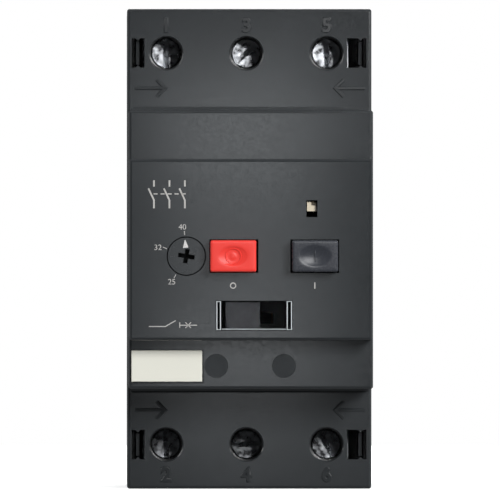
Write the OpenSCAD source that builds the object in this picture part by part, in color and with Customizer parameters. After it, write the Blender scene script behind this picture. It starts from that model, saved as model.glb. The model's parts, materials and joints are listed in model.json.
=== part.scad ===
// Three-pole motor protection breaker with STOP and START push buttons,
// a current dial and screw box terminals, for a 35 mm top-hat rail.
// X points to the right and Z up as the user sees the front, which faces -Y.
// The origin is the centre of the rail seat, the face that lies on the rail.

/* [Casing] */
// Width of the casing
body_w = 67; // [66.6:0.1:68]
// Height of the casing
body_h = 131.5; // [131:0.5:134]
// Depth from the back to the front of the terminal tiers
tier_d = 62; // [61.5:0.1:62.5]
// How far the nose stands out from the terminal tiers
nose_step = 19; // [18.8:0.1:20]
// How far the front cover stands out from the nose
cover_step = 7; // [6.8:0.1:7.2]
// Depth of the rear half of the casing
rear_d = 46; // [45.8:0.1:46.2]
// Wall thickness of the casing
wall = 2.2; // [2:0.1:2.3]
// Radius of the casing's outer edges
edge_r = 0.8; // [0.4:0.1:1.2]

/* [Rail] */
// Height of the rail channel
rail_h = 35.5; // [35.3:0.1:35.8]
// Depth of the rail channel
rail_d = 6; // [5.8:0.1:6.2]
// How far the hooks reach behind the rail's flanges
rail_lip = 1.9; // [1.5:0.1:2.1]

/* [Poles] */
// Distance between poles
pole_pitch = 22; // [21.9:0.05:22.1]
// Sideways offset of the middle pole from the casing's centre
pole_shift = -0.8; // [-0.9:0.1:-0.6]
// Height of the terminal screws above and below the middle
terminal_z = 53.6; // [53.4:0.1:53.8]
// Diameter of the screwdriver holes
driver_hole = 9; // [8.8:0.1:9.4]
// Diameter of the terminal screw's head
head_d = 7.9; // [7.6:0.1:8.4]

/* [Controls] */
// Travel of the start button and of the contacts
start_travel = 4; // [3.6:0.1:4]
// Diameter of the current dial
dial_d = 10.1; // [9.8:0.1:10.3]
// Height of the push buttons above the front cover
button_rise = 4; // [3.8:0.1:4.2]

/* [Hidden] */
$fn = 40;
half_w = body_w / 2;
half_h = body_h / 2;
back_y = rail_d;
floor_y = -2.6;                     // inner floor of the rear casing
split_y = back_y - rear_d;          // where the two casing halves meet
tier_y = back_y - tier_d;
nose_y = tier_y - nose_step;
cover_y = nose_y - cover_step;
button_y = cover_y - button_rise;
nose_top = 37.7;
nose_bottom = -38.2;
nose_left = -half_w + 0.4;
cover_top = 24.4;
cover_bottom = -24.9;
inner_w = half_w - wall;
inner_h = half_h - wall - 0.2;
plate_y = nose_y + 1.6;             // front of the bearing plate under the cover
plate_back = plate_y + 2.2;
tier_plate = 2.4;
running = 0.05;                     // radial clearance of a turning fit

function pole_x(i) = pole_shift + (i - 1) * pole_pitch;

// Terminals
tongue_y = -34;                     // front of the flat bar in each terminal
bar_t = 2;
bar_w = 8.6;
cage_w = 12.6;
cage_front = -38;
cage_back = -20.5;
cage_len = 11;
cage_wall = 1.5;
cage_front_t = 2.5;
head_y = tier_y + 5;
head_t = 4.5;
screw_r = 2.95;
collar_r = driver_hole / 2 + 1.2;
collar_end = -45;
guide_r = 4.2;                      // bore that guides the head
step_y = tier_y + 3.3;              // sloping step between the two bores
step_d = 0.2;
screw_turns = [88, -40, 88, 88, -5, 62];
screw_slot = 1.4;
head_edge = 0.25;                   // chamfer round the head

// Contacts
tip_z = [18, -2];
bridge_y = -22.2;
bridge_t = 1.5;
leg_y = -14;
carrier_z = 8;
carrier_y = -39.5;

// Magnetic trips
magnet_z = -31;
coil_r = 5.3;
coil_wire = 1.15;
plunger_r = 2.95;
pin_r = 1.5;

// Trip shaft and thermal trips
shaft_y = -38.5;
shaft_z = -38;
shaft_r = 2;
strip_z = [-46.4, -42.4];

// Controls, all on the front cover
dial_x = -17.4;
dial_z = -2;
stop_x = -4.7;
start_x = 17.5;
button_z = -2;
button_w = 12.5;
button_h = 8.6;
stem_r = 1.7;
test_x = 16.7;
test_z = 10.9;
window = [[-9.4, 11.5], [-22.2, -14.1]];
plug_z = -31.9;
label_t = 2.2;
lever_x = -25;
lever_z = -16;
latch_y = -66;
latch_z = 8;
arm_z = [-32.5, -30];                // the trip shaft's long arm

slot_z = [terminal_z - 4, terminal_z + 4.1];
slot_x = [[-32.2, -28.7], [26.8, 32.1]];
hook_t = 0.9;                       // thickness of the snap arms
slot_d = 9;                         // depth of their slots in the side walls

// ---------- shapes that repeat ----------

module block(x, y, z) {
  translate([x[0], y[0], z[0]]) cube([x[1] - x[0], y[1] - y[0], z[1] - z[0]]);
}

// Round bar along Y
module rod(x, z, r, y) {
  translate([x, y[1], z]) rotate([90, 0, 0]) cylinder(h = y[1] - y[0], r = r);
}

// Round bar along X
module cross_rod(x, y, z, r) {
  translate([x[0], y, z]) rotate([0, 90, 0]) cylinder(h = x[1] - x[0], r = r);
}

// Rectangle with round corners, from its low corner
module round_rect(w, h, r) {
  translate([r, 0]) square([w - 2 * r, h]);
  translate([0, r]) square([w, h - 2 * r]);
  for (u = [r, w - r], v = [r, h - r]) translate([u, v]) circle(r = r);
}

// Block whose twelve edges are all rounded
module soft_block(x, y, z, r) {
  w = [x[1] - x[0], y[1] - y[0], z[1] - z[0]];
  translate([x[0], y[0], z[0]]) intersection() {
    linear_extrude(w[2]) round_rect(w[0], w[1], r);
    translate([0, w[1], 0]) rotate([90, 0, 0]) linear_extrude(w[1]) round_rect(w[0], w[2], r);
    rotate([90, 0, 90]) linear_extrude(w[0]) round_rect(w[1], w[2], r);
  }
}

// Helical spring along +Z, as one swept tube
module coil_spring(r, wire, length, turns) {
  per_turn = 10;
  sides = 6;
  rings = turns * per_turn;
  rise = length - 2 * wire;
  points = [
    for (i = [0:rings]) for (k = [0:sides - 1])
      let (a = 360 * i / per_turn, b = 360 * k / sides, d = r + wire * cos(b))
        [d * cos(a), d * sin(a), wire + rise * i / rings + wire * 0.98 * sin(b)]
  ];
  skin = [
    for (i = [0:rings - 1]) for (k = [0:sides - 1])
      let (n = (k + 1) % sides, a = i * sides, b = a + sides)
        [a + k, b + k, b + n, a + n]
  ];
  first = [[for (k = [0:sides - 1]) k]];
  last = [[for (k = [0:sides - 1]) rings * sides + sides - 1 - k]];
  polyhedron(points, concat(first, skin, last));
}

// Spring along Y between two depths
module spring_y(x, z, r, wire, y, turns) {
  translate([x, y[1], z]) rotate([90, 0, 0]) coil_spring(r, wire, y[1] - y[0], turns);
}

// One z range mirrored to the top or the bottom end
function at_end(side, z) = side > 0 ? z : [-z[1], -z[0]];

// ---------- casing ----------

module rear_housing() color("#3a3d40") {
  difference() {
    union() {
      difference() {
        intersection() {
          soft_block([-half_w, half_w], [split_y - 5, back_y], [-half_h, half_h], edge_r);
          block([-half_w, half_w], [split_y, back_y], [-half_h, half_h]);
        }
        block([-inner_w, inner_w], [split_y - 1, floor_y], [-inner_h, inner_h]);
      }
      pole_walls();
      casing_hooks();
    }
    rail_channel();
    rear_pockets();
    clip_groove();
    conductor_entries();
    gas_vents();
    for (side = [-1, 1]) side_recess(side, [-30, -8], [26, 48]);
    for (side = [-1, 1]) side_recess(side, [-30, -8], [-48, -26]);
  }
  clip_keepers();
}

// Walls between the poles
module pole_walls() {
  for (i = [0, 1]) {
    x = (pole_x(i) + pole_x(i + 1)) / 2;
    block([x - 0.8, x + 0.8], [-34.5, floor_y + 0.1], [-inner_h - 0.1, inner_h + 0.1]);
  }
}

// Four snap arms that reach into the slots of the terminal tiers
module casing_hooks() {
  for (s = [-1, 1]) {
    z = at_end(s, [slot_z[0] + 0.9, slot_z[1] - 0.9]);
    left = slot_x[0][0] + 1.2;
    right = slot_x[1][1] - 2.1;
    block([left, left + hook_t], [-53, split_y + 3], z);
    block([-inner_w - 0.1, left + hook_t], [split_y, split_y + 3], z);
    block([right, right + hook_t], [-53, split_y + 3], z);
    block([right, inner_w + 0.1], [split_y, split_y + 3], z);
  }
}

module rail_channel() {
  difference() {
    block([-half_w - 1, half_w + 1], [0, back_y + 1], [-rail_h / 2, rail_h / 2]);
    for (x = [-20, 20])
      block([x - 8, x + 8], [1.3, back_y], [rail_h / 2 - rail_lip, rail_h / 2 + 1]);
  }
}

// Hollows in the back that leave a frame of ribs
module rear_pockets() {
  pocket_y = [0, back_y + 1];
  for (x = [[-30.8, -12], [-10, 10], [12, 30.8]]) block(x, pocket_y, [22, 39]);
  for (x = [[-30.8, -12], [-10, 10], [12, 30.8]]) block(x, pocket_y, [41, 62.5]);
  for (x = [[-30.8, -12], [12, 30.8]], z = [[-39, -22], [-62.5, -41]]) block(x, pocket_y, z);
}

module clip_groove() {
  block([-8.4, 8.4], [1, back_y + 1], [-half_h - 1, -rail_h / 2 + 0.1]);
}

// Lips that keep the clip in its groove, and the post its spring stands on
module clip_keepers() color("#3a3d40") {
  for (x = [[-9, -6.8], [6.8, 9]]) block(x, [4.6, back_y], [-52, -26]);
  block([-2.4, 2.4], [0.9, 4.2], [-42, -40]);
}

module conductor_entries() {
  for (i = [0:2], s = [-1, 1])
    block([pole_x(i) - 5.3, pole_x(i) + 5.3], [-32.5, -22], at_end(s, [inner_h - 1, half_h + 1]));
}

module gas_vents() {
  for (i = [0:2], s = [-1, 1], k = [0:2]) {
    y = -7 - 3.4 * k;
    block([pole_x(i) - 4.5, pole_x(i) + 4.5], [y, y + 1.4], at_end(s, [inner_h - 1, half_h + 1]));
  }
}

// Shallow recess in a side wall, where an accessory hooks in
module side_recess(side, y, z) {
  x = side * half_w;
  block([x - 0.7, x + 0.7], y, z);
}

module front_housing() color("#3d4043") {
  difference() {
    union() {
      difference() {
        front_shell();
        block([-inner_w, inner_w], [tier_y + tier_plate, split_y + 1], [-inner_h, inner_h]);
        block([-inner_w, inner_w], [plate_back, split_y], [nose_bottom + wall, nose_top - wall]);
      }
      screw_collars();
      shaft_lugs();
    }
    driver_holes();
    hook_slots();
    block([-29.5, 29.5], [nose_y - 1, plate_y], [-21.5, 21.5]);
    control_holes();
    label_rebate();
    for (x = [-9.2, 9.2]) rod(x, plug_z, 3.25, [nose_y - 1, nose_y + 1.5]);
  }
}

module front_shell() {
  intersection() {
    union() {
      soft_block([-half_w, half_w], [tier_y, split_y + 5], [-half_h, half_h], edge_r);
      soft_block([nose_left, half_w], [nose_y, tier_y + 9], [nose_bottom, nose_top], edge_r);
      step_fillets();
    }
    block([-half_w, half_w], [nose_y, split_y], [-half_h, half_h]);
  }
}

// Rounded inner corners where the nose rises from the tiers
module step_fillets() {
  r = 1.2;
  x = [nose_left + edge_r, half_w - edge_r];
  difference() {
    block(x, [tier_y - r, tier_y + 0.1], [nose_bottom - r, nose_top + r]);
    for (z = [nose_bottom - r, nose_top + r])
      cross_rod([x[0] - 1, x[1] + 1], tier_y - r, z, r);
    block([x[0] - 1, x[1] + 1], [tier_y - r - 1, tier_y + 1], [nose_top + r, nose_top + 2 * r]);
  }
}

// Tubes that guide the screwdriver and hold each screw's head
module screw_collars() {
  for (i = [0:2], s = [-1, 1])
    rod(pole_x(i), s * terminal_z, collar_r, [tier_y + 0.1, collar_end]);
}

module driver_holes() {
  for (i = [0:2], s = [-1, 1]) {
    rod(pole_x(i), s * terminal_z, driver_hole / 2, [tier_y - 1, step_y]);
    translate([pole_x(i), step_y + step_d, s * terminal_z]) rotate([90, 0, 0])
      cylinder(h = step_d, r1 = guide_r, r2 = driver_hole / 2);
    rod(pole_x(i), s * terminal_z, guide_r, [step_y, head_y + head_t + 0.2]);
    translate([pole_x(i), tier_y + 0.3, s * terminal_z]) rotate([90, 0, 0])
      cylinder(h = 0.4, r1 = driver_hole / 2, r2 = driver_hole / 2 + 0.4);
    rod(pole_x(i), s * terminal_z, screw_r + 0.35, [tier_y, collar_end + 1]);
  }
}

// Bearings of the trip shaft
module shaft_lugs() {
  for (s = [-1, 1]) {
    outer = s * (inner_w + 0.1);
    near = s * (inner_w - 0.3);
    inner = s * (inner_w - 2.1);
    difference() {
      union() {
        block([min(outer, inner), max(outer, inner)], [-43, split_y - 0.2], [-42, -34]);
        block([min(near, inner), max(near, inner)], [-43, -35], [-42, -34]);
      }
      cross_rod([-inner_w + 0.35, inner_w - 0.35], shaft_y, shaft_z, shaft_r + running);
    }
  }
}

// Slots with small teeth where a tool pushes the snap arms
module hook_slots() {
  for (s = [-1, 1]) {
    z = at_end(s, slot_z);
    for (x = slot_x) difference() {
      block(x, [tier_y - 1, tier_y + slot_d], z);
      mid = x[0] < 0 ? -30.5 : 30.5;
      for (e = z) translate([mid, tier_y + tier_plate, e]) rotate([90, 0, 0])
        linear_extrude(tier_plate + 1) polygon([[-0.7, 0], [0, -0.7], [0.7, 0], [0, 0.7]]);
    }
  }
}

// Holes in the bearing plate under the cover
module control_holes() {
  deep = [nose_y, plate_back + 1];
  rod(dial_x, dial_z, 2.5 + running, deep);
  for (x = [stop_x, start_x]) rod(x, button_z, stem_r + running, deep);
  block([test_x - 1.6, test_x + 1.6], deep, [test_z - 2.8, test_z + 2.5]);
  block([-3.5, 6.5], deep, [-20.5, -17.5]);
  for (x = [-20, 20], z = [[19.2, 21.2], [-21.2, -19.2]]) block([x - 2.4, x + 2.4], deep, z);
}

module label_rebate() {
  block([-32.8, -12.65], [nose_y - 1, nose_y + label_t], [-36.65, -27.25]);
}

module front_cover() color("#404346") {
  difference() {
    union() {
      difference() {
        intersection() {
          soft_block([nose_left + 0.15, half_w - 0.3], [cover_y, nose_y + 5],
                     [cover_bottom, cover_top], edge_r);
          block([-half_w, half_w], [cover_y, nose_y], [cover_bottom, cover_top]);
        }
        block([-31.4, 31.4], [cover_y + 1.8, nose_y + 1], [cover_bottom + 1.8, cover_top - 1.8]);
      }
      for (x = [-20, 20], z = [[19.6, 20.8], [-20.8, -19.6]])
        block([x - 2, x + 2], [cover_y + 1.7, plate_back + 1.2], z);
    }
    through = [cover_y - 1, cover_y + 3];
    rod(dial_x, dial_z, dial_d / 2 + 0.3, through);
    block([stop_x - 6.45, stop_x + 6.85], through, [button_z - 4.55, button_z + 4.55]);
    block([start_x - 6.65, start_x + 6.6], through, [button_z - 4.6, button_z + 4.55]);
    block([test_x - 1.5, test_x + 1.5], through, [test_z - 2.3, test_z + 2.3]);
    block(window[0], through, window[1]);
  }
}

module label_plate() color("#d9dac6")
  soft_block([-32.4, -13.05], [nose_y + 0.1, nose_y + label_t], [-36.25, -27.65], 0.3);

// Two flush round plugs below the front cover
module sealing_plugs() color("#303336")
  for (x = [-9.2, 9.2]) rod(x, plug_z, 3.2, [nose_y + 0.05, nose_y + 1.5]);

module window_lens() color("#c8d0d4", 0.4) {
  x = [window[0][0] + running, window[0][1] - running];
  z = [window[1][0] + running, window[1][1] - running];
  block(x, [cover_y + 0.1, cover_y + 1.4], z);
  block([x[0], x[0] + 1.4], [cover_y + 0.1, cover_y + 4.4], z);
  block([x[1] - 1.7, x[1]], [cover_y + 0.1, cover_y + 4.4], z);
}

// ---------- controls ----------

// Hollow button with a dished face, a keeper flange and a stem for its spring
module push_button(x, stem_end, tip_r) {
  w = button_w;
  z = [button_z - button_h / 2, button_z + button_h / 2];
  flange_y = cover_y + 2.3;
  dish_r = 9;
  difference() {
    union() {
      intersection() {
        soft_block([x - w / 2, x + w / 2], [button_y, flange_y + 4], z, 0.5);
        block([x - w, x + w], [button_y, flange_y + 1.2], z);
      }
      block([x - w / 2 + 0.1, x + w / 2 - 0.1], [flange_y, flange_y + 1.2], [z[0] - 1.2, z[1] + 1.2]);
    }
    block([x - w / 2 + 1.2, x + w / 2 - 1.2], [button_y + 2.4, flange_y + 2], [z[0] + 1.2, z[1] - 1.2]);
    translate([x, button_y - dish_r + 0.9, button_z]) sphere(r = dish_r);
  }
  rod(x, button_z, stem_r, [button_y + 2.3, stem_end - 2]);
  translate([x, stem_end, button_z]) rotate([90, 0, 0]) cylinder(h = 2.1, r1 = tip_r, r2 = stem_r);
}

module stop_button() color("#c62a30") push_button(stop_x, -67.9, 0.6);

module start_button() color("#4a4d51") push_button(start_x, carrier_y - 4.8, 1.4);

module stop_spring() color("#b9bcc0") spring_y(stop_x, button_z, 2.5, 0.3, [button_y + 2.4, plate_y], 7);

module start_spring() color("#b9bcc0") spring_y(start_x, button_z, 2.5, 0.3, [button_y + 2.4, plate_y], 7);

// Dial with a cross slot, a keeper flange and a snail cam on its stem
module setting_dial() color("#505357") {
  cam_y = -60;
  difference() {
    rod(dial_x, dial_z, dial_d / 2, [cover_y + 0.1, cover_y + 3.6]);
    translate([dial_x, cover_y + 0.1, dial_z]) rotate([0, 10, 0])
      for (arm = [[4.5, 1.2], [1.2, 3.9]])
        translate([-arm[0] / 2, -1, -arm[1] / 2]) cube([arm[0], 3.8, arm[1]]);
  }
  rod(dial_x, dial_z, 5.9, [cover_y + 2.2, cover_y + 3.6]);
  rod(dial_x, dial_z, 2.5, [cover_y + 3.5, cam_y]);
  translate([dial_x, cam_y, dial_z]) rotate([90, 0, 0]) linear_extrude(4) polygon(cam_outline());
}

// The cam's radius grows evenly as it turns, from the low side that faces -X
cam_low = 3;
cam_rise = 1.2;
cam_sweep = 146;
function cam_radius(b) = cam_low + cam_rise * min(max(b, -20), cam_sweep + 20) / cam_sweep;
function cam_outline() = [for (b = [-100:10:250]) cam_radius(b) * [-cos(b), sin(b)]];

// Lever that follows the dial's cam and sets the trip point
module setting_lever() color("#cfc9b4") {
  y = [-63.5, -60.5];
  difference() {
    union() {
      rod(lever_x, lever_z, 3.2, y);
      translate([lever_x, y[1], lever_z]) rotate([90, 0, 0]) linear_extrude(3)
        polygon([[-1.5, 0], [1.5, 15.5], [4, 15.5], [dial_x - lever_x - cam_low - 0.35, 13.9],
                 [3, 12], [1.8, 0]]);
      translate([lever_x, y[1], lever_z]) rotate([90, 0, 0]) linear_extrude(3)
        polygon([[-2.4, 0], [-3.4, -18], [-1.4, -18], [2, 0]]);
    }
    rod(lever_x, lever_z, pin_r + running, [y[0] - 1, y[1] + 1]);
  }
}

// Trip test slider, from its slot in the cover down to the trip shaft's arm
module test_slider() color("#cfc9b4") {
  x = [test_x - 1.3, test_x + 1.25];
  z = [test_z - 0.7, test_z + 1.9];
  difference() {
    block(x, [cover_y + 1.3, -60], z);
    block([test_x - 0.2, test_x + 2], [cover_y, cover_y + 3], [test_z + 0.9, test_z + 3]);
  }
  block([x[0], 27.5], [-63, -60], z);
  block([24.5, 27.5], [-63, -60], [-29.7, z[1]]);
}

// Flag behind the window, with the pin that moves it
module status_flag() color("#595c60") {
  block([-6.7, 2.6], [cover_y + 2.6, cover_y + 3.6], [-22, -14.6]);
  block([-3, -1], [cover_y + 3.5, plate_back + 3], [-20, -18]);
}

// ---------- terminals ----------

// Slotted screw with a centre mark; turn is the angle of its slot
module terminal_screw(i, side) {
  turn = screw_turns[side > 0 ? i : i + 3];
  translate([pole_x(i), head_y, side * terminal_z]) {
    difference() {
      rotate([90, 0, 0]) {
        translate([0, 0, -head_t]) cylinder(h = head_t - head_edge, r = head_d / 2);
        translate([0, 0, -head_edge - 0.01])
          cylinder(h = head_edge + 0.01, r1 = head_d / 2, r2 = head_d / 2 - head_edge);
      }
      rotate([0, turn, 0]) translate([-head_d, -1, -screw_slot / 2]) cube([2 * head_d, 3, screw_slot]);
      translate([0, 2.8, 0]) rotate([90, 0, 0]) cylinder(h = 3, r = 0.85);
    }
    translate([0, tongue_y - head_y - 0.1, 0]) rotate([90, 0, 0])
      cylinder(h = tongue_y - head_y - 0.1 - head_t + 0.2, r = screw_r);
  }
}

// Steel box that the screw pulls forward to clamp the conductor
module terminal_cage(i, side) {
  z = at_end(side, [terminal_z - cage_len / 2, terminal_z + cage_len / 2]);
  half = cage_w / 2;
  difference() {
    block([pole_x(i) - half, pole_x(i) + half], [cage_front, cage_back], z);
    block([pole_x(i) - half + cage_wall, pole_x(i) + half - cage_wall],
          [cage_front + cage_front_t, cage_back - 2], [z[0] - 1, z[1] + 1]);
    rod(pole_x(i), side * terminal_z, screw_r + running, [cage_front - 1, cage_front + cage_front_t + 1]);
  }
}

// Line side bar: terminal tongue, step down and the leg of the fixed contact
module line_bar(i) color("#c98a52") {
  x = [pole_x(i) - bar_w / 2, pole_x(i) + bar_w / 2];
  block(x, [tongue_y, tongue_y + bar_t], [42, 60.5]);
  block(x, [tongue_y, leg_y + bar_t], [42, 44]);
  block(x, [leg_y, leg_y + bar_t], [tip_z[0] - 4, 44]);
}

// Load side bar: terminal tongue and a step that meets the coil's lead
module load_bar(i) color("#c98a52") {
  x = [pole_x(i) - bar_w / 2, pole_x(i) + bar_w / 2];
  block(x, [tongue_y, tongue_y + bar_t], [-60.5, -42]);
  block(x, [tongue_y, -22], [-44, -42]);
}

// ---------- contacts ----------

module coil_bars() color("#c98a52")
  for (i = [0:2])
    block([pole_x(i) - bar_w / 2, pole_x(i) + bar_w / 2], [leg_y, leg_y + bar_t], [-22, 2]);

module fixed_tips() color("#d8dadd")
  for (i = [0:2], z = tip_z) rod(pole_x(i), z, 2.5, [leg_y - 1.2, leg_y]);

// Moulded crossbar with one windowed post for each pole
module contact_carrier() color("#2c2e30") {
  difference() {
    union() {
      block([-28.5, 27], [carrier_y - 4.5, carrier_y], [2, 14]);
      block([start_x - 4, start_x + 4], [carrier_y - 4.5, carrier_y], [-6, 2.1]);
      for (i = [0:2])
        block([pole_x(i) - 4.2, pole_x(i) + 4.2], [carrier_y - 0.1, -19.2],
              [carrier_z - 4, carrier_z + 4]);
    }
    for (i = [0:2])
      block([pole_x(i) - 3.15, pole_x(i) + 3.15], [-30, bridge_y + bridge_t + 0.1],
            [carrier_z - 5, carrier_z + 5]);
  }
}

module contact_bridges() color("#c98a52")
  for (i = [0:2]) {
    block([pole_x(i) - 3, pole_x(i) + 3], [bridge_y, bridge_y + bridge_t], [-5, 21]);
    for (z = tip_z) rod(pole_x(i), z, 2.3, [bridge_y + bridge_t - 0.1, bridge_y + bridge_t + 1.2]);
  }

module contact_springs() color("#b9bcc0")
  for (i = [0:2]) spring_y(pole_x(i), carrier_z, 2.2, 0.35, [-30, bridge_y], 5);

module carrier_spring() color("#b9bcc0")
  spring_y(pole_x(1), carrier_z, 3.4, 0.4, [-19.2, floor_y], 8);

// One stack of notched arc plates
module arc_stack(i, z, notch_z) {
  for (k = [0:5]) {
    y = -17.5 - 2.4 * k;
    difference() {
      block([pole_x(i) - 7, pole_x(i) + 7], [y, y + 1], z);
      translate([pole_x(i), y + 2, notch_z]) rotate([90, 0, 0]) linear_extrude(3)
        polygon([[-4, 0], [0, -6], [4, 0], [0, 6]]);
    }
  }
}

line_stack_z = [24, 39.5];
load_stack_z = [-20.5, -8];

module line_arc_plates() color("#8f9398") for (i = [0:2]) arc_stack(i, line_stack_z, line_stack_z[0]);

module load_arc_plates() color("#8f9398") for (i = [0:2]) arc_stack(i, load_stack_z, load_stack_z[1]);

module arc_chute_sides() color("#8a6a4a")
  for (i = [0:2], s = [-1, 1], z = [line_stack_z, load_stack_z]) {
    x = pole_x(i) + s * 7.35;
    block([x - 0.35, x + 0.35], [-30.5, -16], z);
  }

// ---------- magnetic trips ----------

// Coil turns on a sleeve, with a lead at each end
module magnet_coils() color("#b87333")
  for (i = [0:2]) {
    x = pole_x(i);
    difference() {
      union() {
        rod(x, magnet_z, coil_r - coil_wire + 0.2, [-25.4, -9]);
        for (k = [0:5]) translate([x, -11.2 - 2.35 * k, magnet_z]) rotate([90, 0, 0])
          rotate_extrude() translate([coil_r, 0]) circle(r = coil_wire, $fn = 16);
        block([x + 2.3, x + 4.3], [leg_y, leg_y + bar_t], [magnet_z + 4.6, -22]);
        block([x - 4.3, x - 2.3], [-24, -22], [-42, magnet_z - 4.6]);
      }
      rod(x, magnet_z, plunger_r + running, [-30, -5]);
    }
  }

// Steel frame round each coil
module magnet_yokes() color("#8f9398")
  for (i = [0:2]) {
    x = pole_x(i);
    difference() {
      block([x - 7, x + 7], [-27.5, -6.5], [magnet_z - 9, magnet_z + 9]);
      block([x - 8, x + 8], [-25.9, -8], [magnet_z - 7.5, magnet_z + 7.5]);
      rod(x, magnet_z, pin_r + running, [-28, -25]);
      block([x + 1.9, x + 8], [leg_y - 0.5, leg_y + bar_t + 0.5], [magnet_z + 7, magnet_z + 10]);
      block([x - 8, x - 1.9], [-24.5, -21.5], [magnet_z - 10, magnet_z - 7]);
    }
  }

// Soft iron plunger with the pin that strikes the trip shaft
module plunger(i) color("#9aa0a6") {
  rod(pole_x(i), magnet_z, plunger_r, [-20, -11]);
  rod(pole_x(i), magnet_z, pin_r, [-33.5, -19.9]);
}

module plunger_spring(i) color("#b9bcc0")
  spring_y(pole_x(i), magnet_z, 2.2, 0.3, [-25.8, -20.1], 5);

// ---------- thermal trips ----------

module bimetal_strips() color("#b5a98a")
  for (i = [0:2]) {
    block([pole_x(i) - 2.5, pole_x(i) + 2.5], [tongue_y - 2, tongue_y], strip_z);
    block([pole_x(i) - 0.4, pole_x(i) + 0.4], [-50, tongue_y - 1.9], strip_z);
  }

// Flat heater wire wound round each strip
module heater_coils() color("#a9713c")
  for (i = [0:2]) {
    x = pole_x(i);
    difference() {
      union() {
        for (k = [0:3]) block([x - 1.6, x + 1.6], [-43.6 + 1.9 * k, -42.6 + 1.9 * k],
                              [strip_z[0] - 0.9, strip_z[1] + 0.8]);
        block([x + 1, x + 1.6], [-43.6, -36.9], [strip_z[1] - 1, strip_z[1] + 0.8]);
      }
      block([x - 0.9, x + 0.9], [-44, -36], [strip_z[0] - 0.3, strip_z[1] + 0.3]);
    }
  }

// Bar that the three strips push, with one prong beside each
module differential_bar() color("#cfc9b4") {
  block([-27.5, 24], [-49, -46], [-41.3, -39.3]);
  for (i = [0:2]) block([pole_x(i) - 2.6, pole_x(i) - 1.0], [-49, -46], [-45.8, -41.2]);
}

// Shaft across the poles with a paddle for each plunger and an arm for the test slider
module trip_shaft() color("#cfc9b4") {
  cross_rod([-30.6, 30.6], shaft_y, shaft_z, shaft_r);
  for (i = [0:2])
    block([pole_x(i) - 3, pole_x(i) + 3], [-39.6, -37.6], [shaft_z, -27.5]);
  block([24.5, 27.5], [-40, -37.2], [shaft_z, arm_z[1]]);
  block([24.5, 27.5], [-63.5, -39.9], arm_z);
}

module trip_spring() color("#b9bcc0")
  translate([26, -55, nose_bottom + wall])
    coil_spring(1.4, 0.25, arm_z[0] - nose_bottom - wall, 4);

// ---------- latch ----------

// Lever that the stop button tips to release the contacts
module latch_lever() color("#a4a8ad") {
  x = [stop_x - 2, stop_x + 2];
  difference() {
    union() {
      cross_rod(x, latch_y, latch_z, 3);
      block(x, [latch_y - 1.5, latch_y + 1.5], [-5, latch_z]);
      block(x, [latch_y, -49], [latch_z + 0.2, latch_z + 3]);
      block(x, [-51, -49], [latch_z - 2, latch_z + 3]);
    }
    cross_rod([x[0] - 1, x[1] + 1], latch_y, latch_z, pin_r + running);
  }
}

// Steel bracket on the bearing plate that carries the latch
module mechanism_frame() color("#9aa0a6") {
  difference() {
    union() {
      block([-10, 9], [plate_back, plate_back + 1.2], [-10, 14]);
      for (x = [[-10, -8.8], [7.8, 9]]) block(x, [plate_back, -52], [-10, 14]);
    }
    rod(stop_x, button_z, 2.4, [plate_back - 1, plate_back + 2]);
    cross_rod([-11, 10], latch_y, latch_z, pin_r + 0.02);
  }
}

module pivot_pins() color("#c3c6ca") {
  cross_rod([-10.4, 9.4], latch_y, latch_z, pin_r);
  rod(lever_x, lever_z, pin_r, [plate_back, -59]);
}

// ---------- rail clip ----------

module din_clip() color("#34373a") {
  difference() {
    union() {
      block([-8, 8], [1.3, 4.3], [-60.5, -17.8]);
      block([-8, 8], [1.3, 5.8], [-21, -rail_h / 2 + rail_lip]);
      block([-6, 6], [1.3, 5.8], [-60.5, -55]);
    }
    block([-3, 3], [0, 5], [-48, -28]);
    block([-3.2, 3.2], [2.4, 7], [-59, -57]);
    translate([-9, 5.8, -rail_h / 2 + rail_lip]) rotate([45, 0, 0])
      translate([0, -1.2, -1.2]) cube([18, 2.4, 2.4]);
  }
}

module din_clip_spring() color("#b9bcc0")
  translate([0, 2.7, -40]) coil_spring(1.3, 0.25, 12, 9);

// ---------- nodes ----------

rear_housing();
front_housing();
front_cover();
label_plate();
sealing_plugs();
window_lens();
stop_button();
start_button();
stop_spring();
start_spring();
setting_dial();
setting_lever();
test_slider();
status_flag();
for (i = [0:2]) {
  color("#d5d7da") terminal_screw(i, 1);
  color("#d5d7da") terminal_screw(i, -1);
  color("#b4b7bb") terminal_cage(i, 1);
  color("#b4b7bb") terminal_cage(i, -1);
  line_bar(i);
  load_bar(i);
  plunger(i);
  plunger_spring(i);
}
coil_bars();
fixed_tips();
contact_carrier();
contact_bridges();
contact_springs();
carrier_spring();
line_arc_plates();
load_arc_plates();
arc_chute_sides();
magnet_coils();
magnet_yokes();
bimetal_strips();
heater_coils();
trip_shaft();
trip_spring();
differential_bar();
latch_lever();
mechanism_frame();
pivot_pins();
din_clip();
din_clip_spring();
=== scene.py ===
import json
import math

import bmesh
import bpy
from mathutils import Matrix, Vector


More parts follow.
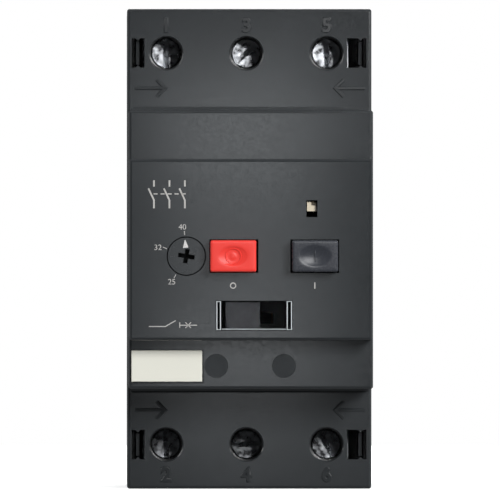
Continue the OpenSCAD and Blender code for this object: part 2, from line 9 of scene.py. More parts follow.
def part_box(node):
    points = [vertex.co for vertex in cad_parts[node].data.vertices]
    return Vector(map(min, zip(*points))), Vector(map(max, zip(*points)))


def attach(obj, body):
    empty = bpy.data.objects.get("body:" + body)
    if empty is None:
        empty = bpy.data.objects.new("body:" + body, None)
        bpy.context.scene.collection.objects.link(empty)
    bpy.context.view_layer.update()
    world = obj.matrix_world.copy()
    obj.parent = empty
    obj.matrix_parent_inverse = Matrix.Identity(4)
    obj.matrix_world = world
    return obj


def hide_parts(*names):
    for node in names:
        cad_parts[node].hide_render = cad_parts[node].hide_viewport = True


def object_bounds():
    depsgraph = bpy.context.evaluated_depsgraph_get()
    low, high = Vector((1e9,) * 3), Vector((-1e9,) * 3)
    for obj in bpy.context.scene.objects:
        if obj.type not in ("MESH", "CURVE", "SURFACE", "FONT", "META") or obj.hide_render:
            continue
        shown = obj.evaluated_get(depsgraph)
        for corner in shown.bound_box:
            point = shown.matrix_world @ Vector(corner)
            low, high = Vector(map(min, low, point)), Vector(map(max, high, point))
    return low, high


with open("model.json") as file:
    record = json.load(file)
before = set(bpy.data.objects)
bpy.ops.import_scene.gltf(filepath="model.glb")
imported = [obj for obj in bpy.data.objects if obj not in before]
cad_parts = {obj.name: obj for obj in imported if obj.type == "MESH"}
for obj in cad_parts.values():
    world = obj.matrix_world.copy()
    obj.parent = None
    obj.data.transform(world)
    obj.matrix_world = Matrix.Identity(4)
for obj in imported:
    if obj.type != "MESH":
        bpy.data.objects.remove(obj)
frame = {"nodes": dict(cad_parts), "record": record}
cad_low, cad_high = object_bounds()

MM = 0.001
scene = bpy.context.scene
nodes = frame["nodes"]
poles = [sum(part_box(f"line_screw_{i}"), Vector()).x / 2 for i in (1, 2, 3)]
nose_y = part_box("front_housing")[0].y
tier_y = nose_y + 19 * MM       # the nose stands 19 mm out from the terminal tiers
cover_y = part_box("front_cover")[0].y
dial = sum(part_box("setting_dial"), Vector()) / 2
dial_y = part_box("setting_dial")[0].y
CASING = ["front_housing", "rear_housing", "front_cover", "setting_dial", "sealing_plugs"]
SCREWS = [f"{row}_screw_{i}" for row in ("line", "load") for i in (1, 2, 3)]
GREY = (0.84, 0.93, 1.0)        # hue of the dark plastic
HOLLOW_SHADE = 0.004                   # painted shade: level of the plastic inside holes, darkened for the shade there
FILM = 0.02 * MM                # thickness of the print above its surface
STEM_R = 1.7 * MM               # radius of the push buttons' stems
EDGE_R = 0.55 * MM              # rounding of the push buttons' outlines


# ---------- camera, light and floor ----------

def make_camera():
    """Nearly square to the front, a fraction of a degree from the left, with a very long lens."""
    yaw = math.radians(-0.7)
    distance = 3.0
    aim = Vector((0.4 * MM, (cad_low.y + cad_high.y) / 2, (cad_low.z + cad_high.z) / 2 - 0.33 * MM))
    height_seen = (cad_high.z - cad_low.z) * 1.0475
    data = bpy.data.cameras.new("camera")
    data.sensor_width = 36
    data.lens = data.sensor_width * distance / height_seen
    data.clip_start, data.clip_end = 0.1, 50
    camera = bpy.data.objects.new("camera", data)
    scene.collection.objects.link(camera)
    back = Vector((math.sin(yaw), -math.cos(yaw), 0))
    camera.location = aim + back * distance
    camera.rotation_mode = "QUATERNION"
    camera.rotation_quaternion = (-back).to_track_quat("-Z", "Y")
    scene.camera = camera


def area_light(name, place, aim, size, power, diffuse=True):
    """Rectangular lamp that the camera doesn't see."""
    data = bpy.data.lights.new(name, "AREA")
    data.energy = power
    data.shape = "RECTANGLE"
    data.size, data.size_y = size
    lamp = bpy.data.objects.new(name, data)
    scene.collection.objects.link(lamp)
    lamp.location = place
    lamp.rotation_mode = "QUATERNION"
    lamp.rotation_quaternion = (aim - lamp.location).to_track_quat("-Z", "Y")
    lamp.visible_camera = False
    lamp.visible_diffuse = diffuse
    return lamp


def link_light(lamp, names, state):
    """INCLUDE: the lamp lights only these nodes. EXCLUDE: it lights everything else."""
    group = bpy.data.collections.new(f"{lamp.name}_receivers")
    lamp.light_linking.receiver_collection = group
    for name in names:
        group.objects.link(nodes[name])
    for member in group.collection_objects:
        member.light_linking.link_state = state


SHEENS = [                      # name, height above the middle, lamp height (m), power (W)
    ("upper", 0.036, 0.034, 0.0165),
    ("middle", 0.001, 0.034, 0.0076),
    ("lower", -0.028, 0.020, 0.0098),
    ("foot", -0.054, 0.010, 0.0040),
]
SHEEN_WIDTH = 0.044
SHEEN_DISTANCE = 0.20


def make_lights():
    middle = (cad_low + cad_high) / 2
    front = Vector((middle.x, cad_low.y, middle.z))

    # The key gives the diffuse light from the upper right, and the gloss lamp its highlights
    key = area_light("key_light", front + Vector((0.42, -0.68, 0.30)), front, (0.30, 0.34), 9.0)
    key.visible_glossy = False
    gloss = area_light("gloss_light", front + Vector((0.22, -0.75, 0.27)), front,
                       (0.36, 0.40), 3.3, diffuse=False)
    link_light(gloss, CASING + SCREWS, "EXCLUDE")

    # A small hard lamp for each row of screws, down their holes
    for row, power in (("line", 5.6), ("load", 10.0)):
        screw = sum(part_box(f"{row}_screw_2"), Vector()) / 2
        glint = area_light(f"glint_light_{row}", screw + Vector((0.31, -0.43, 0.31)), screw,
                           (0.11, 0.11), power, diffuse=False)
        link_light(glint, SCREWS + ["front_housing"], "INCLUDE")

    # Soft lamps straight in front, for the sheen down the middle of the casing
    for name, z, height, power in SHEENS:
        place = Vector((0, cad_low.y, z))
        sheen = area_light(f"sheen_light_{name}", place - Vector((0, SHEEN_DISTANCE, 0)), place,
                           (SHEEN_WIDTH, height), power, diffuse=False)
        sheen.data.color = (0.93, 0.97, 1)
        link_light(sheen, CASING, "INCLUDE")

    for side in (-1, 1):
        area_light(f"side_light_{side + 2}", Vector((side * 0.9, 0.05, 0.45)), middle, (0.6, 0.6), 6)
    area_light("back_light", Vector((0, 0.95, 0.4)), middle, (0.7, 0.6), 7)


def make_world():
    """Dark room in front and paler round the sides; the camera itself sees white paper."""
    world = bpy.data.worlds.new("studio")
    world.use_nodes = True
    tree = world.node_tree
    sky = tree.nodes["Background"]
    set_inputs(sky, {"Color": (0.93, 0.96, 1, 1)})
    place = tree.nodes.new("ShaderNodeTexCoord")
    parts = tree.nodes.new("ShaderNodeSeparateXYZ")
    dim = tree.nodes.new("ShaderNodeMapRange")
    set_inputs(dim, {"From Min": -0.95, "From Max": -0.2, "To Min": 0.008, "To Max": 0.35})
    tree.links.new(place.outputs["Generated"], parts.inputs["Vector"])
    tree.links.new(parts.outputs["Y"], dim.inputs["Value"])
    tree.links.new(dim.outputs["Result"], sky.inputs["Strength"])
    paper = tree.nodes.new("ShaderNodeBackground")
    set_inputs(paper, {"Color": (1, 1, 1, 1), "Strength": 1})
    path = tree.nodes.new("ShaderNodeLightPath")
    mix = tree.nodes.new("ShaderNodeMixShader")
    tree.links.new(path.outputs["Is Camera Ray"], mix.inputs["Fac"])
    tree.links.new(sky.outputs["Background"], mix.inputs[1])
    tree.links.new(paper.outputs["Background"], mix.inputs[2])
    tree.links.new(mix.outputs["Shader"], tree.nodes["World Output"].inputs["Surface"])
    scene.world = world
    scene.view_settings.view_transform = "Standard"


def make_floor():
    bm = bmesh.new()
    bmesh.ops.create_circle(bm, cap_ends=True, radius=0.6, segments=96,
                            matrix=Matrix.Translation((0, 0, cad_low.z)))
    mesh = bpy.data.meshes.new("floor")
    bm.to_mesh(mesh)
    bm.free()
    floor = bpy.data.objects.new("floor", mesh)
    scene.collection.objects.link(floor)
    material, tree, shader = new_material("floor_paper")
    set_inputs(shader, {"Base Color": (0.93, 0.93, 0.925, 1), "Roughness": 0.9,
                        "Emission Color": (1, 1, 1, 1), "Emission Strength": 0.35})
    mesh.materials.append(material)
    floor.visible_diffuse = False
    floor.visible_glossy = False


# ---------- materials ----------

def set_inputs(node, values):
    for socket, value in values.items():
        node.inputs[socket].default_value = value


def new_material(name):
    material = bpy.data.materials.new(name)
    material.use_nodes = True
    tree = material.node_tree
    return material, tree, tree.nodes["Principled BSDF"]


def noise(tree, scale, detail=3, stretch=(1, 1, 1)):
    """Noise over the piece's own coordinates; scale counts features in a metre."""
    place = tree.nodes.new("ShaderNodeTexCoord")
    mapping = tree.nodes.new("ShaderNodeMapping")
    mapping.inputs["Scale"].default_value = stretch
    texture = tree.nodes.new("ShaderNodeTexNoise")
    set_inputs(texture, {"Scale": scale, "Detail": detail})
    tree.links.new(place.outputs["Object"], mapping.inputs["Vector"])
    tree.links.new(mapping.outputs["Vector"], texture.inputs["Vector"])
    return texture.outputs["Fac"]


def spread(tree, value, low, high, start=0.3, end=0.7):
    """Maps a texture's middle range to a range of values."""
    node = tree.nodes.new("ShaderNodeMapRange")
    set_inputs(node, {"From Min": start, "From Max": end, "To Min": low, "To Max": high})
    tree.links.new(value, node.inputs["Value"])
    return node.outputs["Result"]


def blend_colours(tree, value, low, high, start=0.3, end=0.7):
    """Goes from one colour to the other over a texture's middle range."""
    ramp = tree.nodes.new("ShaderNodeValToRGB")
    for element, position, colour in zip(ramp.color_ramp.elements, (start, end), (low, high)):
        element.position = position
        element.color = (*colour, 1)
    tree.links.new(value, ramp.inputs["Fac"])
    return ramp.outputs["Color"]


def bump(tree, shader, value, depth, strength=1.0, under=None):
    """Relief of the given depth in metres."""
    node = tree.nodes.new("ShaderNodeBump")
    set_inputs(node, {"Distance": depth, "Strength": strength})
    tree.links.new(value, node.inputs["Height"])
    if under:
        tree.links.new(under, node.inputs["Normal"])
    tree.links.new(node.outputs["Normal"], shader.inputs["Normal"])
    return node.outputs["Normal"]


def shade(colour, factor):
    return tuple(c * factor for c in colour)


def inside(tree, start_y, half_w, half_h):
    """1 on surfaces deeper than start_y and within half_w, half_h of the axis, 0 elsewhere."""
    place = tree.nodes.new("ShaderNodeTexCoord")
    parts = tree.nodes.new("ShaderNodeSeparateXYZ")
    tree.links.new(place.outputs["Object"], parts.inputs["Vector"])
    mask = spread(tree, parts.outputs["Y"], 0, 1, start_y, start_y + 0.3 * MM)
    for axis, half in (("X", half_w), ("Z", half_h)):
        size = tree.nodes.new("ShaderNodeMath")
        size.operation = "ABSOLUTE"
        tree.links.new(parts.outputs[axis], size.inputs[0])
        product = tree.nodes.new("ShaderNodeMath")
        product.operation = "MULTIPLY"
        tree.links.new(mask, product.inputs[0])
        tree.links.new(spread(tree, size.outputs[0], 1, 0, half, half + 0.1 * MM), product.inputs[1])
        mask = product.outputs[0]
    return mask


def mixed(tree, mask, outer, inner, kind="FLOAT"):
    """The outer value or colour, and the inner one where the mask is 1."""
    node = tree.nodes.new("ShaderNodeMix")
    node.data_type = kind
    first = {"FLOAT": 2, "RGBA": 6}[kind]       # the node's A socket for this kind
    tree.links.new(mask, node.inputs[0])
    tree.links.new(outer, node.inputs[first])
    node.inputs[first + 1].default_value = inner
    return node.outputs[{"FLOAT": 0, "RGBA": 2}[kind]]


def moulded(name, colour, roughness=0.3, grain=0.004, mottle=0.10, specular=0.5,
            grain_scale=2600, shade_hollows=()):
    """Moulded plastic: fine spark-eroded grain, faint clouds in colour and gloss. Inside each
    hollow (start_y, half_w, half_h, roughness) the plastic is painted black as painted shade, and has
    its own gloss."""
    material, tree, shader = new_material(name)
    clouds = noise(tree, 55, 4)
    colour_out = blend_colours(tree, clouds, shade(colour, 1 - mottle), shade(colour, 1 + mottle))
    gloss_out = spread(tree, noise(tree, 1300, 4), roughness - 0.035, roughness + 0.045)
    for start_y, half_w, half_h, inner_roughness in shade_hollows:
        # painted shade: inside the hollow the colour goes near-black
        mask = inside(tree, start_y, half_w, half_h)
        colour_out = mixed(tree, mask, colour_out, (*dark(HOLLOW_SHADE), 1), "RGBA")
        gloss_out = mixed(tree, mask, gloss_out, inner_roughness)
    tree.links.new(colour_out, shader.inputs["Base Color"])
    tree.links.new(gloss_out, shader.inputs["Roughness"])
    shader.inputs["Specular IOR Level"].default_value = specular
    bump(tree, shader, noise(tree, grain_scale, 4), grain * MM)
    return material


def metal(name, colour, roughness=0.25, streaks=(1, 1, 1), scale=900, tarnish=0.25, grain=0.004):
    """Bare or plated metal with streaks along one direction and duller patches."""
    material, tree, shader = new_material(name)
    patches = noise(tree, 260, 5)
    colour_out = blend_colours(tree, patches, shade(colour, 1 - tarnish), colour)
    tree.links.new(colour_out, shader.inputs["Base Color"])
    shader.inputs["Metallic"].default_value = 1
    lines = noise(tree, scale, 4, streaks)
    tree.links.new(spread(tree, lines, roughness * 0.7, roughness * 1.4), shader.inputs["Roughness"])
    bump(tree, shader, lines, grain * MM)
    return material


def turned_metal(name, colour, roughness=0.38):
    """Plated screw: rings left by the tool about the piece's own Y axis, and small dents."""
    material, tree, shader = new_material(name)
    place = tree.nodes.new("ShaderNodeTexCoord")
    centre = tree.nodes.new("ShaderNodeMapping")
    centre.vector_type = "POINT"
    centre.inputs["Location"].default_value = (-0.5, 0, -0.5)
    rings = tree.nodes.new("ShaderNodeTexWave")
    rings.wave_type = "RINGS"
    rings.rings_direction = "Y"
    set_inputs(rings, {"Scale": 9, "Distortion": 1.2, "Detail": 3})
    tree.links.new(place.outputs["Generated"], centre.inputs["Vector"])
    tree.links.new(centre.outputs["Vector"], rings.inputs["Vector"])
    patches = noise(tree, 700, 5)
    colour_out = blend_colours(tree, patches, shade(colour, 0.55), colour)
    tree.links.new(colour_out, shader.inputs["Base Color"])
    shader.inputs["Metallic"].default_value = 1
    tree.links.new(spread(tree, patches, roughness * 0.6, roughness * 1.7), shader.inputs["Roughness"])
    fine = bump(tree, shader, rings.outputs["Fac"], 0.003 * MM)
    bump(tree, shader, noise(tree, 1500, 3), 0.003 * MM, 0.8, fine)
    return material


def clear_plastic(name, tint, roughness=0.03):
    """Clear moulding with a faint wave in its surface."""
    material, tree, shader = new_material(name)
    set_inputs(shader, {"Base Color": (*tint, 1), "Transmission Weight": 1, "IOR": 1.49})
    tree.links.new(spread(tree, noise(tree, 800, 4), roughness * 0.5, roughness * 1.8),
                   shader.inputs["Roughness"])
    bump(tree, shader, noise(tree, 90, 2), 0.002 * MM)
    return material


def printed(name, colour):
    """Pad-printed ink: matt, with the slightly uneven cover of a thin film."""
    material, tree, shader = new_material(name)
    tree.links.new(blend_colours(tree, noise(tree, 2200, 4), shade(colour, 0.78), colour),
                   shader.inputs["Base Color"])
    tree.links.new(spread(tree, noise(tree, 900, 3), 0.5, 0.65), shader.inputs["Roughness"])
    bump(tree, shader, noise(tree, 3000, 3), 0.006 * MM)
    return material


def dark(level):
    return tuple(level * c for c in GREY)


def make_materials():
    along_y, along_z = (1, 0.08, 1), (1, 1, 0.08)
    side, end = cad_high.x - 1.1 * MM, cad_high.z - 2 * MM
    cover_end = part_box("front_cover")[1].z - 1.5 * MM
    # Hollows (start_y, half_w, half_h, roughness) where the plastic is painted near-black as painted
    # shade
    tier_holes_shade = (tier_y + 0.7 * MM, side, end, 0.38)
    nose_inside_shade = (nose_y + 1.2 * MM, 29.6 * MM, 21.6 * MM, 0.9)
    cover_openings_shade = (cover_y + 1.0 * MM, side - MM, cover_end, 0.9)
    dial_slot_shade = (dial_y + 0.4 * MM, side, end, 0.9)
    return {
        "casing_rear": moulded("rear_plastic", dark(0.024), 0.30),
        "casing_front": moulded("front_plastic", dark(0.0285), 0.215,
                                shade_hollows=[tier_holes_shade, nose_inside_shade]),
        "cover": moulded("cover_plastic", dark(0.029), 0.21, shade_hollows=[cover_openings_shade]),
        "label": moulded("label_card", (0.78, 0.775, 0.69), 0.42, 0.003, 0.015, 0.4, 1500),
        "plug": moulded("plug_plastic", dark(0.028), 0.42, mottle=0.25),
        "lens": clear_plastic("lens_plastic", (0.93, 0.95, 0.97)),
        "stop_red": moulded("stop_plastic", (0.80, 0.048, 0.037), 0.31, 0.002, 0.02, 0.5, 1800),
        "start_grey": moulded("start_plastic", (0.036, 0.039, 0.047), 0.27, 0.002, 0.04),
        "dial_grey": moulded("dial_plastic", dark(0.028), 0.24, shade_hollows=[dial_slot_shade]),
        "flag_grey": moulded("flag_plastic", (0.017, 0.016, 0.020), 0.45),
        "ivory": moulded("ivory_plastic", (0.62, 0.55, 0.42), 0.4, 0.004, 0.05),
        "carrier_black": moulded("thermoset", (0.012, 0.012, 0.013), 0.5, 0.008),
        "clip_black": moulded("clip_plastic", dark(0.022), 0.38),
        "fibre": moulded("vulcanised_fibre", (0.22, 0.10, 0.05), 0.6, 0.01, 0.25, 0.3, 900),
        "screw_steel": turned_metal("plated_screw", (0.58, 0.60, 0.63), 0.30),
        "cage_steel": metal("zinc_plate", (0.58, 0.60, 0.62), 0.3, along_z),
        "spring_steel": metal("spring_wire", (0.62, 0.62, 0.63), 0.22),
        "arc_steel": metal("sheet_steel", (0.38, 0.39, 0.40), 0.38, along_z),
        "copper": metal("bright_copper", (0.83, 0.42, 0.26), 0.28, along_z, tarnish=0.35),
        "silver": metal("contact_silver", (0.85, 0.84, 0.80), 0.25, scale=1500),
        "bimetal": metal("bimetal_strip", (0.52, 0.47, 0.36), 0.35, along_y),
        "print": printed("grey_print", (0.52, 0.51, 0.49)),
        "print_white": printed("white_print", (0.66, 0.65, 0.64)),
        # painted highlight: pale plastic standing in for the glare on the window's polished edges
        "edge_highlight": moulded("painted_edge_highlight", (0.62, 0.66, 0.68), 0.15, 0.003, 0.2),
    }


def finish_cad_nodes():
    """Gives each CAD node the procedural material of its slot in the record."""
    for part in frame["record"]["subparts"]:
        mesh = nodes[part["node"]].data
        mesh.materials.clear()
        mesh.materials.append(materials[part["material_slot"]])


# ---------- mesh helpers ----------

def add_piece(name, mesh, material, body="casing"):
    """Makes an object of the mesh that rides on the body."""
    mesh.materials.clear()
    mesh.materials.append(materials[material])
    piece = bpy.data.objects.new(name, mesh)
    scene.collection.objects.link(piece)
    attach(piece, body)
    return piece


def bevel(piece, width):
    modifier = piece.modifiers.new("bevel", "BEVEL")
    modifier.width = width
    modifier.segments = 2
    modifier.limit_method = "ANGLE"
    modifier.angle_limit = math.radians(35)


def to_mesh(bm, name, smooth_below=None):
    """Ends a bmesh; edges sharper than smooth_below degrees stay crisp."""
    bmesh.ops.recalc_face_normals(bm, faces=bm.faces)
    if smooth_below is not None:
        for face in bm.faces:
            face.smooth = True
        for edge in bm.edges:
            if len(edge.link_faces) == 2:
                edge.smooth = edge.calc_face_angle() < math.radians(smooth_below)
    mesh = bpy.data.meshes.new(name)
    bm.to_mesh(mesh)
    bm.free()
    return mesh


def prism(bm, outline, front, back):
    """Closed prism from an outline of (x, z) points, between two depths."""
    near = [bm.verts.new((x, front, z)) for x, z in outline]
    far = [bm.verts.new((x, back, z)) for x, z in outline]
    bm.faces.new(near)
    bm.faces.new(far[::-1])
    count = len(outline)
    for k in range(count):
        n = (k + 1) % count
        bm.faces.new((near[n], near[k], far[k], far[n]))


def tube(bm, outer, inner, front, back):
    """Closed prism with a hole; outer and inner have the same number of points."""
    rows = [[bm.verts.new((x, y, z)) for x, z in ring]
            for ring, y in ((outer, front), (outer, back), (inner, back), (inner, front))]
    count = len(outer)
    for a in range(4):
        for k in range(count):
            n, b = (k + 1) % count, (a + 1) % 4
            bm.faces.new((rows[a][k], rows[a][n], rows[b][n], rows[b][k]))


def stack(bm, loops):
    """Skin over loops of equal length, closed with a face at each end."""
    rows = [[bm.verts.new(p) for p in loop] for loop in loops]
    count = len(rows[0])
    for low, high in zip(rows, rows[1:]):
        for k in range(count):
            n = (k + 1) % count
            bm.faces.new((low[k], low[n], high[n], high[k]))
    bm.faces.new(rows[0][::-1])
    bm.faces.new(rows[-1])


def circle(x, z, radius, count=48):
    turns = [2 * math.pi * k / count for k in range(count)]
    return [(x + radius * math.cos(a), z + radius * math.sin(a)) for a in turns]


def stroke(points, width):
    """Outline of a line of even width with mitred corners, through (x, z) points."""
    left, right = [], []
    points = [Vector(p) for p in points]
    for k, point in enumerate(points):
        before = (point - points[k - 1]).normalized() if k else None
        after = (points[k + 1] - point).normalized() if k + 1 < len(points) else None
        along = ((before or after) + (after or before)).normalized()
        normal = Vector((-along.y, along.x))
        reach = width / 2 / max(0.3, normal.dot(Vector((-(before or after).y, (before or after).x))))
        left.append(point + normal * reach)
        right.append(point - normal * reach)
    return [tuple(p) for p in left + right[::-1]]


def turned_about(point, centre, angle):
    """The point (x, z), given from the centre, turned anticlockwise as seen from the front."""
    x, z = point
    c, s = math.cos(angle), math.sin(angle)
    return (centre[0] + x * c - z * s, centre[1] + x * s + z * c)


def text_mesh(words, height, depth, weight=0.0, slope=0.0):
    """Figures as a mesh, centred, upright in the XZ plane, facing -Y. slope is the width of
    their flanks before they are scaled to the height."""
    curve = bpy.data.curves.new("figures", "FONT")
    curve.body = words
    curve.align_x, curve.align_y = "CENTER", "CENTER"
    curve.offset = weight
    curve.extrude = 0.01 if slope else 0.5
    curve.bevel_depth = slope
    curve.bevel_resolution = 0
    holder = bpy.data.objects.new("figures", curve)
    scene.collection.objects.link(holder)
    bpy.context.view_layer.update()
    graph = bpy.context.evaluated_depsgraph_get()
    mesh = bpy.data.meshes.new_from_object(holder.evaluated_get(graph))
    bpy.data.objects.remove(holder)
    low = Vector([min(v.co[a] for v in mesh.vertices) for a in range(3)])
    high = Vector([max(v.co[a] for v in mesh.vertices) for a in range(3)])
    size = height / (high.y - low.y)
    centre = (low + high) / 2
    scale = Matrix.Diagonal((size, size, depth / (high.z - low.z), 1))
    stand = Matrix.Rotation(math.radians(90), 4, "X")
    mesh.transform(stand @ scale @ Matrix.Translation(-centre))
    bm = bmesh.new()
    bm.from_mesh(mesh)
    bmesh.ops.remove_doubles(bm, verts=bm.verts, dist=1e-7)
    bmesh.ops.recalc_face_normals(bm, faces=bm.faces)
    bm.to_mesh(mesh)
    bm.free()
    return mesh


# ---------- push buttons ----------

def rounded_reach(angle, half_w, half_h, corner):
    """Distance from the middle of a rounded rectangle to its edge at an angle."""
    c, s = math.cos(angle), math.sin(angle)
    low, high = 0.0, half_w + half_h
    for _ in range(40):
        r = (low + high) / 2
        qx, qz = abs(r * c) - half_w + corner, abs(r * s) - half_h + corner
        outside = math.hypot(max(qx, 0), max(qz, 0)) + min(max(qx, qz), 0) - corner
        low, high = (low, r) if outside > 0 else (r, high)
    return low


def button_angles(half_w, half_h):
    """Even steps, with finer ones at the four corners."""
    corner = math.degrees(math.atan2(half_h, half_w))
    corners = [corner, 180 - corner, 180 + corner, 360 - corner]
    even = [a for a in range(0, 360, 5) if min(abs(a - c) for c in corners) > 4]
    fine = [c + d * 0.8 for c in corners for d in range(-5, 6)]
    return [math.radians(a) for a in sorted(even + fine)]


def button_mesh(node, rings, dish, dish_depth):
    """Dished push button with its flange and stem. Its face is a polar grid from the rounded
    outline to the middle. rings lists (radius, height) of what stands up in the dish, from
    outside to inside, and its first radius is where the dish's own slope ends."""
    low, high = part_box(node)
    x, z = (low.x + high.x) / 2, (low.z + high.z) / 2
    flange_out = 1.2 * MM                       # how far the flange stands out, above and below
    half_w = (high.x - low.x) / 2
    half_h = (high.z - low.z) / 2 - flange_out
    angles = button_angles(half_w, half_h)
    flange = (cover_y + 2.3 * MM, cover_y + 3.5 * MM)

    def outline(inset, y, grow=(0, 0)):
        w, h = half_w - inset + grow[0], half_h - inset + grow[1]
        corner = max(EDGE_R - inset, 0.05 * MM)
        reach = [rounded_reach(a, w, h, corner) for a in angles]
        return [(x + r * math.cos(a), y, z + r * math.sin(a)) for r, a in zip(reach, angles)]

    def oval(rx, rz, y):
        return [(x + rx * math.cos(a), y, z + rz * math.sin(a)) for a in angles]

    def between(a, b, t, y):
        return [(p[0] * (1 - t) + q[0] * t, y, p[2] * (1 - t) + q[2] * t) for p, q in zip(a, b)]

    face_y = low.y
    grow = (-0.1 * MM, flange_out)
    loops = [outline(0, flange[1], grow), outline(0, flange[0], grow), outline(0, flange[0])]
    for k in range(7):
        turn = math.radians(15 * k)
        loops.append(outline(EDGE_R * (1 - math.cos(turn)), face_y + EDGE_R * (1 - math.sin(turn))))
    face_edge = loops[-1]
    rim = oval(dish[0] * 1.06, dish[1] * 1.06, face_y)
    for t in (0.35, 0.7, 1):
        loops.append(between(face_edge, rim, t, face_y))

    def depth(t):
        return face_y + dish_depth * (1 - t * t)

    inner = rings[0][0] if rings else 0.3 * MM
    steps = 14
    for k in range(steps + 1):
        t = k / steps
        rx, rz = dish[0] * (1 - t) + inner * t, dish[1] * (1 - t) + inner * t
        sink = depth((rx * rz / (dish[0] * dish[1])) ** 0.5)
        loops.append(oval(rx, rz, sink if k else face_y + 0.03 * MM))
    for radius, height in rings:
        ratio = radius / (dish[0] * dish[1]) ** 0.5
        loops.append(oval(radius, radius, depth(ratio) - height))
    bm = bmesh.new()
    stack(bm, loops)
    stem = [(STEM_R, face_y + 2.3 * MM), (STEM_R, high.y - 2 * MM), (0.5 * MM, high.y)]
    stack(bm, [[(x + r * math.cos(a), y, z + r * math.sin(a)) for a in angles[::4]]
               for r, y in stem])
    return to_mesh(bm, node, 40)


def make_buttons():
    dish_depth = 0.62 * MM
    crest, floor, boss = 0.16 * MM, 0.02 * MM, 0.08 * MM
    rings = [(2.25 * MM, 0), (2.12 * MM, crest), (1.92 * MM, crest), (1.78 * MM, floor),
             (0.95 * MM, floor), (0.82 * MM, boss), (0.2 * MM, boss)]
    stop = add_piece("stop_cap", button_mesh("stop_button", rings, (4.05 * MM, 2.75 * MM), dish_depth),
                     "stop_red", "stop_button")
    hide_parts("stop_button")
    start = add_piece("start_cap", button_mesh("start_button", [], (4.3 * MM, 2.9 * MM), dish_depth),
                      "start_grey", "start_button")
    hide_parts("start_button")

    low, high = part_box("start_button")
    x, z = (low.x + high.x) / 2, (low.z + high.z) / 2
    bm = bmesh.new()
    prism(bm, stroke([(x, z - 2.0 * MM), (x, z + 2.0 * MM)], 0.36 * MM),
          low.y + 0.42 * MM, low.y + 1.0 * MM)
    bar = add_piece("start_mark", to_mesh(bm, "start_mark", 40),
                    "start_grey", "start_button")
    bevel(bar, 0.08 * MM)


# ---------- marks on the front ----------

def print_piece(name, outlines, surface_y, material="print", body="casing"):
    """Thin printed shapes on a surface that faces the front."""
    bm = bmesh.new()
    for outline in outlines:
        prism(bm, outline, surface_y - FILM, surface_y + 2 * FILM)
    add_piece(name, to_mesh(bm, name), material, body)


def make_dial_marks():
    """Ticks and figures round the dial, and the pointer on it, which rests at the full setting."""
    centre = (dial.x, dial.z)
    full, middle, least = (math.radians(a) for a in (4.6, 69, 150.6))
    ticks = [stroke([turned_about((0, r * MM), centre, a) for r in (5.75, 6.85)], 0.22 * MM)
             for a in (full, middle, least)]
    print_piece("dial_ticks", ticks, cover_y)
    pointer = [turned_about((x * MM, z * MM), centre, full)
               for x, z in ((-0.75, 2.3), (0.75, 2.3), (0.1, 4.4), (-0.1, 4.4))]
    print_piece("dial_pointer", [pointer], dial_y, "print_white", "setting_dial")
    for words, x, z in (("40", -1.1, 7.95), ("32", -7.7, 2.4), ("25", -4.0, -6.95)):
        mesh = text_mesh(words, 1.5 * MM, 3 * FILM)
        mesh.transform(Matrix.Translation((dial.x + x * MM, cover_y + FILM / 2, dial.z + z * MM)))
        add_piece(f"dial_figure_{words}", mesh, "print")


def make_symbols():
    """Plain circuit symbols: a breaker's contact and a three-pole switch. Ring for off, bar for on."""
    line = 0.24 * MM
    x, z = -27.6 * MM, -21.1 * MM
    contact = stroke([(x, z), (x + 4.5 * MM, z), (x + 7.3 * MM, z + 1.6 * MM)], line)
    bar_x, axis_z = x + 8.4 * MM, z + 0.35 * MM
    bar = stroke([(bar_x, axis_z - 0.75 * MM), (bar_x, axis_z + 0.75 * MM)], line)
    lead = stroke([(bar_x + line / 2, axis_z), (bar_x + 4.7 * MM, axis_z)], line * 0.9)
    cross_x, arm = bar_x + 2.3 * MM, 0.75 * MM
    cross = [stroke([(cross_x - arm, axis_z + s * arm), (cross_x + arm, axis_z - s * arm)], line * 0.9)
             for s in (-1, 1)]
    print_piece("breaker_symbol", [contact, bar, lead, *cross], cover_y)

    shapes, thick = [], 0.45 * MM
    for k in range(3):
        px = (-26.2 + 4.2 * k) * MM
        shapes.append(stroke([(px, 18.6 * MM), (px, 16.9 * MM)], thick))
        shapes.append(stroke([(px, 11.0 * MM), (px, 13.2 * MM), (px - 1.5 * MM, 16.4 * MM)], thick))
    for k in range(5):
        dash = -26.3 + 1.9 * k
        shapes.append(stroke([(dash * MM, 14.9 * MM), ((dash + 1.1) * MM, 14.9 * MM)], 0.3 * MM))
    print_piece("three_pole_symbol", shapes, cover_y)

    stop = sum(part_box("stop_button"), Vector()) / 2
    start = sum(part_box("start_button"), Vector()) / 2
    mark_z = -10.0 * MM
    bm = bmesh.new()
    tube(bm, circle(stop.x, mark_z, 0.85 * MM), circle(stop.x, mark_z, 0.58 * MM),
         cover_y - FILM, cover_y + 2 * FILM)
    add_piece("off_mark", to_mesh(bm, "off_mark"), "print")
    on_bar = stroke([(start.x, mark_z - 0.85 * MM), (start.x, mark_z + 0.85 * MM)], 0.3 * MM)
    print_piece("on_mark", [on_bar], cover_y)


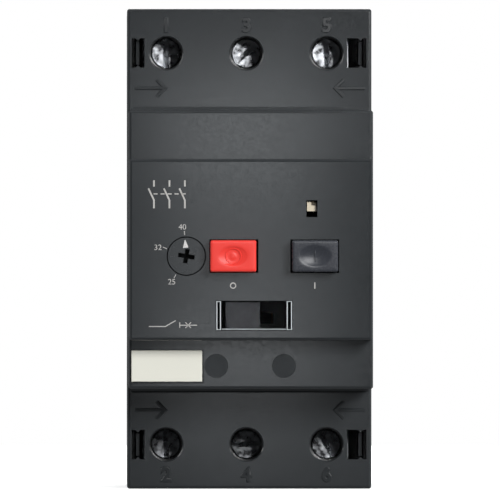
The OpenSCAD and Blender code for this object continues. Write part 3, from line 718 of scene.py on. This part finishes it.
def arrow_outline(tip, direction, grow):
    """Embossed arrow that points along X; grow widens it on every side."""
    length, half, width = 8.6 * MM, 2.6 * MM, 0.5 * MM + 2 * grow
    tip = (tip[0] + direction * grow * math.sqrt(2), tip[1])
    slant = width / math.sqrt(2)
    neck = -width * math.sqrt(2) - width / 2
    points = [(0, 0), (-half, half), (-half - slant, half - slant), (neck, width / 2),
              (-length, width / 2), (-length, -width / 2), (neck, -width / 2),
              (-half - slant, -half + slant), (-half, -half)]
    return [(tip[0] + direction * x, tip[1] + z) for x, z in points]


def make_embossing():
    """Raised arrows and terminal figures with sloping sides."""
    rise, slope = 0.22 * MM, 0.30 * MM
    levels = ((slope, 0.1 * MM), (slope, 0), (0, -rise))        # how much wider, how deep
    bm = bmesh.new()
    for z in (44.0, -44.2):
        for x, direction in ((-22.7, 1), (23.2, -1)):
            loops = []
            for grow, depth in levels:
                outline = arrow_outline((x * MM, z * MM), direction, grow)
                loops.append([(px, tier_y + depth, pz) for px, pz in outline])
            stack(bm, loops)
    add_piece("tier_arrows", to_mesh(bm, "tier_arrows"), "casing_front")
    for figures, z in (("135", 61.3), ("246", -61.8)):
        for pole, figure in zip(poles, figures):
            mesh = text_mesh(figure, 4.4 * MM, 2 * rise, 0.02, 0.045)
            mesh.transform(Matrix.Translation((pole, tier_y, z * MM)))
            add_piece(f"terminal_figure_{figure}", mesh, "casing_front")


# ---------- window ----------

def make_window():
    """Painted highlight on the polished edges of the clear moulding: a bright frame round each end and
    along the foot.
    """
    low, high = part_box("window_lens")
    margin, thick = 0.1 * MM, 0.28 * MM
    front_y = low.y - 0.03 * MM
    bm = bmesh.new()

    def corners(x0, x1, z0, z1):
        return [(x0, z0), (x1, z0), (x1, z1), (x0, z1)]

    for x0, x1 in ((low.x + margin, low.x + 1.35 * MM), (high.x - 1.6 * MM, high.x - 0.15 * MM)):
        tube(bm, corners(x0, x1, low.z + margin, high.z - margin),
             corners(x0 + thick, x1 - thick, low.z + thick, high.z - thick),
             front_y, low.y + 0.25 * MM)
    foot_z = low.z + 0.32 * MM
    foot = stroke([(low.x + 1.5 * MM, foot_z), (high.x - 1.75 * MM, foot_z)], 0.2 * MM)
    prism(bm, foot, front_y, low.y + 0.2 * MM)
    edges = add_piece("window_edges", to_mesh(bm, "window_edges"), "edge_highlight")
    bevel(edges, 0.06 * MM)


make_camera()
make_lights()
make_world()
make_floor()
materials = make_materials()
finish_cad_nodes()
make_buttons()
make_dial_marks()
make_symbols()
make_embossing()
make_window()
